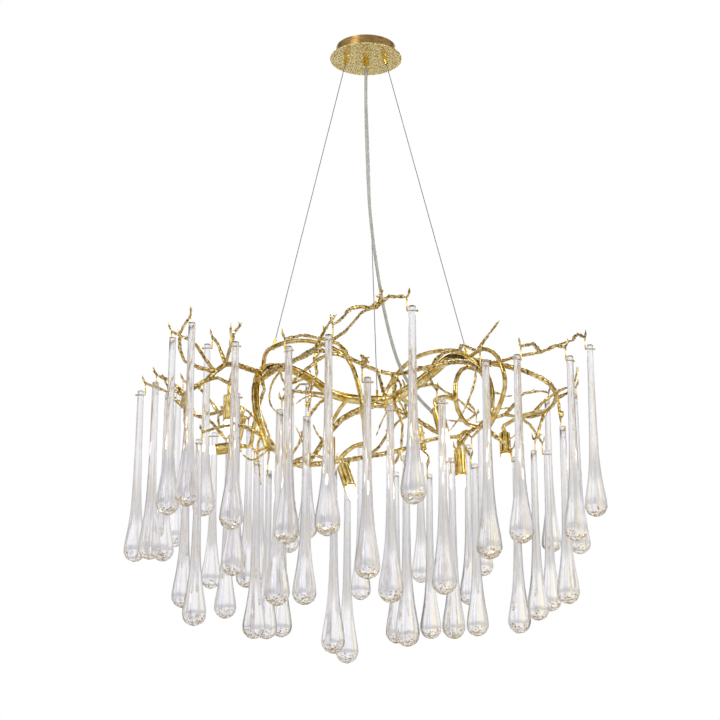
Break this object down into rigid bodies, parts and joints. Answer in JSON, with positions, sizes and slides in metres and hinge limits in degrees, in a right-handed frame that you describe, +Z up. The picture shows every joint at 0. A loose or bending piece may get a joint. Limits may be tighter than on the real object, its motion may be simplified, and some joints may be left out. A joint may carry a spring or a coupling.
{
  "type": "chandelier",
  "caption": "Ceiling chandelier with a wreath of gold knotty branches hung on steel cables, solid glass drops all round it and small downward lamps",
  "frame": {"origin": "middle of the canopy where it meets the ceiling, between the two fixing slots of the bracket", "axes": "+Z up out of the ceiling face, +X to the right as seen from the side in the picture, +Y away from that viewer"},
  "size_m": [0.776, 0.761, 1.062],
  "materials": {
    "branch_brass": "polished gold-coloured cast brass with a knotty bark texture",
    "polished_brass": "smooth polished gold-coloured brass",
    "satin_brass": "satin gold-coloured brass",
    "textured_brass": "fine grainy pale gold with a polished edge",
    "zinc_steel": "zinc plated steel",
    "cable_steel": "stranded steel",
    "clear_cord": "clear greyish plastic over pale leads",
    "white_plastic": "moulded white plastic",
    "white_ceramic": "unglazed white ceramic",
    "drop_glass": "solid clear glass with streaks and fine golden bubbles",
    "lamp_glass": "clear capsule that glows warm white when lit"
  },
  "bodies": {
    "fixture": {"ceiling_bracket": "zinc_steel", "threaded_nipple": "polished_brass", "canopy_cup": "satin_brass", "canopy_plate": "textured_brass", "gripper_nuts": "zinc_steel", "cord_gland": "polished_brass", "terminal_block": "white_plastic", "cable_grippers": "polished_brass", "suspension_cable_left": "cable_steel", "suspension_cable_right": "cable_steel", "suspension_cable_back": "cable_steel", "power_cord": "clear_cord", "cable_anchors": "polished_brass", "back_branch": "branch_brass", "left_branch": "branch_brass", "front_branch": "branch_brass", "right_branch": "branch_brass", "lower_branch": "branch_brass", "arch_tubes": "polished_brass", "lamp_arms": "polished_brass", "lamp_sleeves": "polished_brass", "lamp_sockets": "white_ceramic", "socket_screws": "zinc_steel", "lamp_bulbs": "lamp_glass", "drop_hooks": "polished_brass"},
    "gripper_collar_left": {"gripper_collar_left": "polished_brass"},
    "gripper_collar_right": {"gripper_collar_right": "polished_brass"},
    "gripper_collar_back": {"gripper_collar_back": "polished_brass"},
    "glass_pair_1": {"glass_pair_1": "drop_glass"},
    "glass_pair_2": {"glass_pair_2": "drop_glass"},
    "glass_pair_3": {"glass_pair_3": "drop_glass"},
    "glass_pair_4": {"glass_pair_4": "drop_glass"},
    "glass_pair_5": {"glass_pair_5": "drop_glass"},
    "glass_pair_6": {"glass_pair_6": "drop_glass"},
    "glass_pair_7": {"glass_pair_7": "drop_glass"},
    "glass_pair_8": {"glass_pair_8": "drop_glass"},
    "glass_pair_9": {"glass_pair_9": "drop_glass"},
    "glass_pair_10": {"glass_pair_10": "drop_glass"},
    "glass_pair_11": {"glass_pair_11": "drop_glass"},
    "glass_pair_12": {"glass_pair_12": "drop_glass"},
    "glass_pair_13": {"glass_pair_13": "drop_glass"},
    "glass_pair_14": {"glass_pair_14": "drop_glass"},
    "glass_pair_15": {"glass_pair_15": "drop_glass"},
    "glass_pair_16": {"glass_pair_16": "drop_glass"},
    "glass_pair_17": {"glass_pair_17": "drop_glass"},
    "glass_drop_1": {"glass_drop_1": "drop_glass"},
    "glass_drop_2": {"glass_drop_2": "drop_glass"},
    "glass_drop_3": {"glass_drop_3": "drop_glass"},
    "glass_drop_4": {"glass_drop_4": "drop_glass"},
    "glass_drop_5": {"glass_drop_5": "drop_glass"},
    "glass_drop_6": {"glass_drop_6": "drop_glass"},
    "glass_drop_7": {"glass_drop_7": "drop_glass"},
    "glass_drop_8": {"glass_drop_8": "drop_glass"},
    "glass_drop_9": {"glass_drop_9": "drop_glass"},
    "glass_drop_10": {"glass_drop_10": "drop_glass"},
    "glass_drop_11": {"glass_drop_11": "drop_glass"},
    "glass_drop_12": {"glass_drop_12": "drop_glass"},
    "glass_drop_13": {"glass_drop_13": "drop_glass"},
    "glass_drop_14": {"glass_drop_14": "drop_glass"},
    "glass_drop_15": {"glass_drop_15": "drop_glass"}
  },
  "joints": [
    {"name": "collar_slide_left", "type": "slide", "parent": "fixture", "child": "gripper_collar_left", "axis": [0.2106, 0.097, 0.9728], "range_m": [0, 0.0015], "stiffness_N_per_m": 400},
    {"name": "collar_slide_right", "type": "slide", "parent": "fixture", "child": "gripper_collar_right", "axis": [-0.2506, -0.0542, 0.9666], "range_m": [0, 0.0015], "stiffness_N_per_m": 400},
    {"name": "collar_slide_back", "type": "slide", "parent": "fixture", "child": "gripper_collar_back", "axis": [-0.0341, -0.2249, 0.9738], "range_m": [0, 0.0015], "stiffness_N_per_m": 400},
    {"name": "glass_pair_1_swing", "type": "hinge", "parent": "fixture", "child": "glass_pair_1", "pos_m": [-0.305, -0.13, -0.572], "axis": [0.4258, -0.9048, 0], "range_deg": [-6, 6]},
    {"name": "glass_pair_2_swing", "type": "hinge", "parent": "fixture", "child": "glass_pair_2", "pos_m": [-0.11, -0.352, -0.647], "axis": [0.8014, -0.5941, 0.0691], "range_deg": [-6, 6]},
    {"name": "glass_pair_3_swing", "type": "hinge", "parent": "fixture", "child": "glass_pair_3", "pos_m": [0.035, -0.3, -0.722], "axis": [0.9853, 0.0657, 0.1576], "range_deg": [-6, 6]},
    {"name": "glass_pair_4_swing", "type": "hinge", "parent": "fixture", "child": "glass_pair_4", "pos_m": [-0.125, -0.29, -0.725], "axis": [0.3605, 0.927, 0.103], "range_deg": [-6, 6]},
    {"name": "glass_pair_5_swing", "type": "hinge", "parent": "fixture", "child": "glass_pair_5", "pos_m": [-0.05, -0.11, -0.779], "axis": [-0.1784, -0.9814, 0.0714], "range_deg": [-6, 6]},
    {"name": "glass_pair_6_swing", "type": "hinge", "parent": "fixture", "child": "glass_pair_6", "pos_m": [-0.165, 0.1, -0.742], "axis": [0.2157, 0.9705, 0.1078], "range_deg": [-6, 6]},
    {"name": "glass_pair_7_swing", "type": "hinge", "parent": "fixture", "child": "glass_pair_7", "pos_m": [-0.335, 0.06, -0.619], "axis": [0, -0.9944, -0.1061], "range_deg": [-6, 6]},
    {"name": "glass_pair_8_swing", "type": "hinge", "parent": "fixture", "child": "glass_pair_8", "pos_m": [-0.23, 0.06, -0.712], "axis": [0.597, 0.796, -0.0995], "range_deg": [-6, 6]},
    {"name": "glass_pair_9_swing", "type": "hinge", "parent": "fixture", "child": "glass_pair_9", "pos_m": [-0.205, 0.17, -0.65], "axis": [-0.1634, -0.9805, -0.1089], "range_deg": [-6, 6]},
    {"name": "glass_pair_10_swing", "type": "hinge", "parent": "fixture", "child": "glass_pair_10", "pos_m": [0.1, 0.3, -0.627], "axis": [0.98, -0.1782, 0.0891], "range_deg": [-6, 6]},
    {"name": "glass_pair_11_swing", "type": "hinge", "parent": "fixture", "child": "glass_pair_11", "pos_m": [-0.255, -0.16, -0.742], "axis": [0.5534, 0.8301, -0.0692], "range_deg": [-6, 6]},
    {"name": "glass_pair_12_swing", "type": "hinge", "parent": "fixture", "child": "glass_pair_12", "pos_m": [0.225, -0.25, -0.632], "axis": [0.879, 0.4654, 0.1034], "range_deg": [-6, 6]},
    {"name": "glass_pair_13_swing", "type": "hinge", "parent": "fixture", "child": "glass_pair_13", "pos_m": [0.05, 0.06, -0.752], "axis": [0.5103, 0.8505, 0.1276], "range_deg": [-6, 6]},
    {"name": "glass_pair_14_swing", "type": "hinge", "parent": "fixture", "child": "glass_pair_14", "pos_m": [0.18, 0.04, -0.742], "axis": [0.7186, -0.6954, 0], "range_deg": [-6, 6]},
    {"name": "glass_pair_15_swing", "type": "hinge", "parent": "fixture", "child": "glass_pair_15", "pos_m": [0.281, 0.06, -0.715], "axis": [0.2707, -0.9552, 0.1194], "range_deg": [-6, 6]},
    {"name": "glass_pair_16_swing", "type": "hinge", "parent": "fixture", "child": "glass_pair_16", "pos_m": [0.335, 0.29, -0.574], "axis": [0.2525, -0.9566, -0.1454], "range_deg": [-6, 6]},
    {"name": "glass_pair_17_swing", "type": "hinge", "parent": "fixture", "child": "glass_pair_17", "pos_m": [-0.14, 0.33, -0.569], "axis": [0.3597, -0.9249, 0.1233], "range_deg": [-6, 6]},
    {"name": "glass_drop_1_swing", "type": "hinge", "parent": "fixture", "child": "glass_drop_1", "pos_m": [-0.372, 0, -0.627], "axis": [1, 0, 0], "range_deg": [-6, 6]},
    {"name": "glass_drop_2_swing", "type": "hinge", "parent": "fixture", "child": "glass_drop_2", "pos_m": [-0.33, 0.16, -0.582], "axis": [1, 0, 0], "range_deg": [-6, 6]},
    {"name": "glass_drop_3_swing", "type": "hinge", "parent": "fixture", "child": "glass_drop_3", "pos_m": [-0.258, -0.055, -0.562], "axis": [1, 0, 0], "range_deg": [-6, 6]},
    {"name": "glass_drop_4_swing", "type": "hinge", "parent": "fixture", "child": "glass_drop_4", "pos_m": [-0.195, -0.25, -0.612], "axis": [1, 0, 0], "range_deg": [-6, 6]},
    {"name": "glass_drop_5_swing", "type": "hinge", "parent": "fixture", "child": "glass_drop_5", "pos_m": [0.002, -0.37, -0.697], "axis": [1, 0, 0], "range_deg": [-6, 6]},
    {"name": "glass_drop_6_swing", "type": "hinge", "parent": "fixture", "child": "glass_drop_6", "pos_m": [0.065, -0.385, -0.597], "axis": [1, 0, 0], "range_deg": [-6, 6]},
    {"name": "glass_drop_7_swing", "type": "hinge", "parent": "fixture", "child": "glass_drop_7", "pos_m": [0.17, -0.345, -0.667], "axis": [1, 0, 0], "range_deg": [-6, 6]},
    {"name": "glass_drop_8_swing", "type": "hinge", "parent": "fixture", "child": "glass_drop_8", "pos_m": [0.365, -0.05, -0.562], "axis": [1, 0, 0], "range_deg": [-6, 6]},
    {"name": "glass_drop_9_swing", "type": "hinge", "parent": "fixture", "child": "glass_drop_9", "pos_m": [-0.275, 0.26, -0.642], "axis": [1, 0, 0], "range_deg": [-6, 6]},
    {"name": "glass_drop_10_swing", "type": "hinge", "parent": "fixture", "child": "glass_drop_10", "pos_m": [-0.2, -0.15, -0.667], "axis": [1, 0, 0], "range_deg": [-6, 6]},
    {"name": "glass_drop_11_swing", "type": "hinge", "parent": "fixture", "child": "glass_drop_11", "pos_m": [-0.01, 0.26, -0.662], "axis": [1, 0, 0], "range_deg": [-6, 6]},
    {"name": "glass_drop_12_swing", "type": "hinge", "parent": "fixture", "child": "glass_drop_12", "pos_m": [0.06, -0.2, -0.775], "axis": [1, 0, 0], "range_deg": [-6, 6]},
    {"name": "glass_drop_13_swing", "type": "hinge", "parent": "fixture", "child": "glass_drop_13", "pos_m": [0.135, -0.08, -0.755], "axis": [1, 0, 0], "range_deg": [-6, 6]},
    {"name": "glass_drop_14_swing", "type": "hinge", "parent": "fixture", "child": "glass_drop_14", "pos_m": [0.18, 0.2, -0.677], "axis": [1, 0, 0], "range_deg": [-6, 6]},
    {"name": "glass_drop_15_swing", "type": "hinge", "parent": "fixture", "child": "glass_drop_15", "pos_m": [0.32, 0.2, -0.687], "axis": [1, 0, 0], "range_deg": [-6, 6]}
  ]
}
